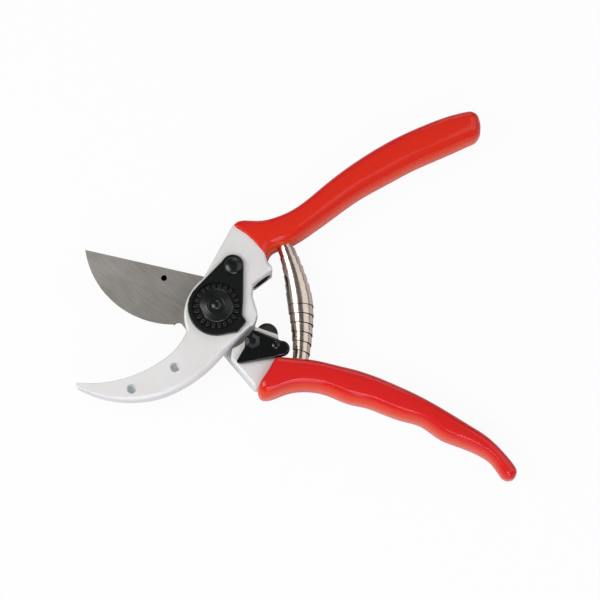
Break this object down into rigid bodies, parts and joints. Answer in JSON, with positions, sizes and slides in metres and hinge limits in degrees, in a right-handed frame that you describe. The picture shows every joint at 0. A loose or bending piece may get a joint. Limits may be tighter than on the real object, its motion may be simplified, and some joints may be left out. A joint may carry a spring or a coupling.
{
  "type": "pruning shears",
  "caption": "Bypass pruning shears with a hooked counter blade, dipped grips, a coiled return spring and a thumb catch.",
  "frame": {"origin": "on the pivot axis, at the back face of the pivot bolt's head, on which the shears lie", "axes": "+Z along the pivot axis towards the adjusting nut, +X towards the handles, +Y towards the handle that carries the hook"},
  "size_m": [0.1926, 0.1663, 0.0215],
  "materials": {
    "forged_aluminium": "satin lacquer",
    "red_vinyl": "gloss",
    "blade_steel": "ground",
    "zinc_steel": "satin",
    "bronze": "satin",
    "black_oxide": "semi-gloss",
    "black_nylon": "semi-gloss",
    "nickel_plate": "bright",
    "black_rubber": "matte"
  },
  "bodies": {
    "hook_handle": {"hook_handle": "forged_aluminium", "hook_handle_grip": "red_vinyl", "counter_blade": "blade_steel", "counter_blade_rivets": "zinc_steel", "pivot_bolt": "zinc_steel", "pivot_washer": "zinc_steel", "adjusting_nut": "black_oxide", "locking_segment": "black_oxide", "segment_screw": "black_oxide", "return_spring": "nickel_plate", "upper_spring_peg": "zinc_steel", "shock_absorber": "black_rubber"},
    "blade_handle": {"blade_handle": "forged_aluminium", "blade_handle_grip": "red_vinyl", "cutting_blade": "blade_steel", "blade_fixing_pins": "zinc_steel", "pivot_bush": "bronze", "lower_spring_peg": "zinc_steel", "catch_screw": "black_oxide", "catch_washer": "zinc_steel", "rubber_cushion": "black_rubber"},
    "thumb_catch": {"thumb_catch": "black_nylon"}
  },
  "joints": [
    {"name": "pivot", "type": "hinge", "parent": "hook_handle", "child": "blade_handle", "pos_m": [0, 0, 0], "axis": [0, 0, 1], "range_deg": [0, 56], "stiffness_Nm_per_rad": 0.8, "springref_deg": -20.05, "deforming": ["return_spring"]},
    {"name": "catch_pivot", "type": "hinge", "parent": "blade_handle", "child": "thumb_catch", "pos_m": [0.01587, -0.01538, 0], "axis": [0, 0, 1], "range_deg": [0, 16]}
  ]
}
